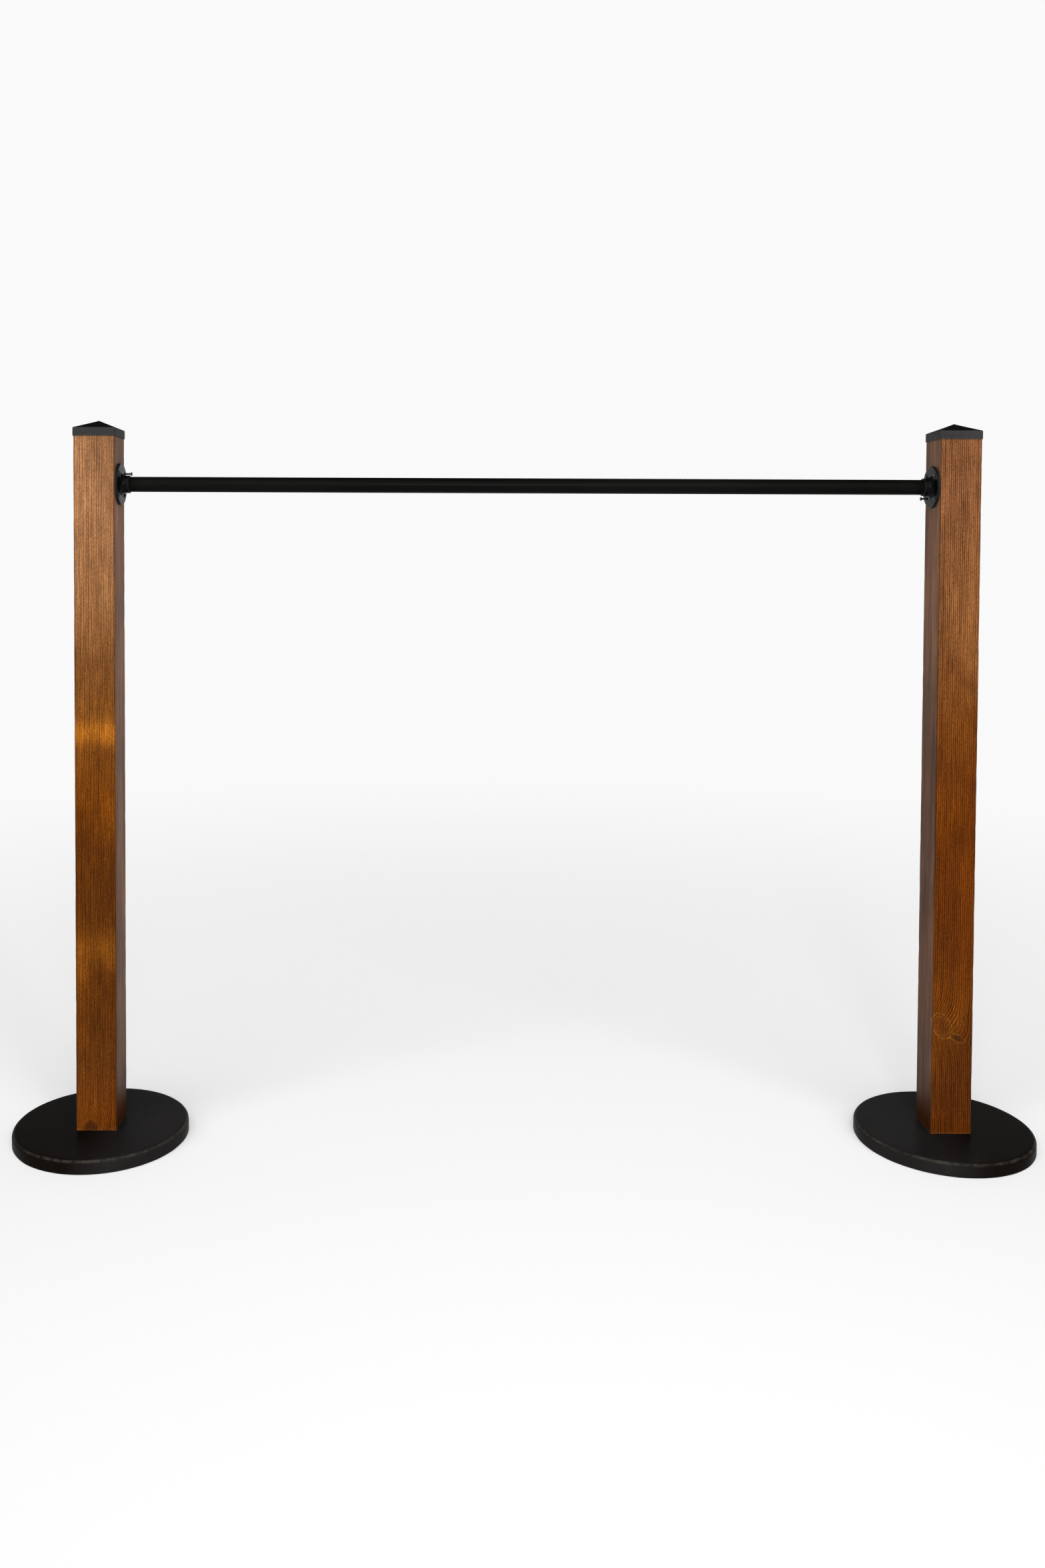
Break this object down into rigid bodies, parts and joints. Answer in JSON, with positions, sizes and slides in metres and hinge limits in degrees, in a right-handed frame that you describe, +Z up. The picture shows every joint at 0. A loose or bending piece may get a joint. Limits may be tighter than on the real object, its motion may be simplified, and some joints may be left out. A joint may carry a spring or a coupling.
{
  "type": "post and rail stand",
  "caption": "Square stained-wood posts on round black bases, with pyramid caps, joined near the top by a black steel pipe rail in round screwed flanges.",
  "frame": {"origin": "on the floor, midway between the posts and at the middle of their thickness", "axes": "+X along the rail from the left post to the right post, +Y to the back, +Z up"},
  "size_m": [2.25, 0.381, 1.581],
  "materials": {
    "stained_pine": "satin stained and sealed softwood with visible grain",
    "painted_base": "satin black-brown paint, worn at the rim",
    "cap_steel": "satin dark grey powder coat",
    "black_pipe": "satin black",
    "cast_flange": "gloss black paint over castings",
    "black_fastener": "gloss black",
    "zinc_steel": "zinc plated"
  },
  "bodies": {
    "stand": {"left_base": "painted_base", "left_base_lags": "zinc_steel", "left_base_washers": "zinc_steel", "left_post": "stained_pine", "left_cap": "cap_steel", "left_cap_nails": "black_fastener", "left_flange": "cast_flange", "left_flange_screws": "black_fastener", "right_base": "painted_base", "right_base_lags": "zinc_steel", "right_base_washers": "zinc_steel", "right_post": "stained_pine", "right_cap": "cap_steel", "right_cap_nails": "black_fastener", "right_flange": "cast_flange", "right_flange_screws": "black_fastener"},
    "rail": {"rail_pipe": "black_pipe"},
    "left_loose_screw_body": {"left_loose_screw": "black_fastener"},
    "right_loose_screw_body": {"right_loose_screw": "black_fastener"}
  },
  "joints": [
    {"name": "rail_turn", "type": "hinge", "parent": "stand", "child": "rail", "pos_m": [0, 0, 1.443], "axis": [1, 0, 0], "range_deg": [-360, 360]},
    {"name": "left_screw_drive", "type": "slide", "parent": "stand", "child": "left_loose_screw_body", "axis": [-1, 0, 0], "range_m": [0, 0.014]},
    {"name": "right_screw_drive", "type": "slide", "parent": "stand", "child": "right_loose_screw_body", "axis": [1, 0, 0], "range_m": [0, 0.01]}
  ]
}
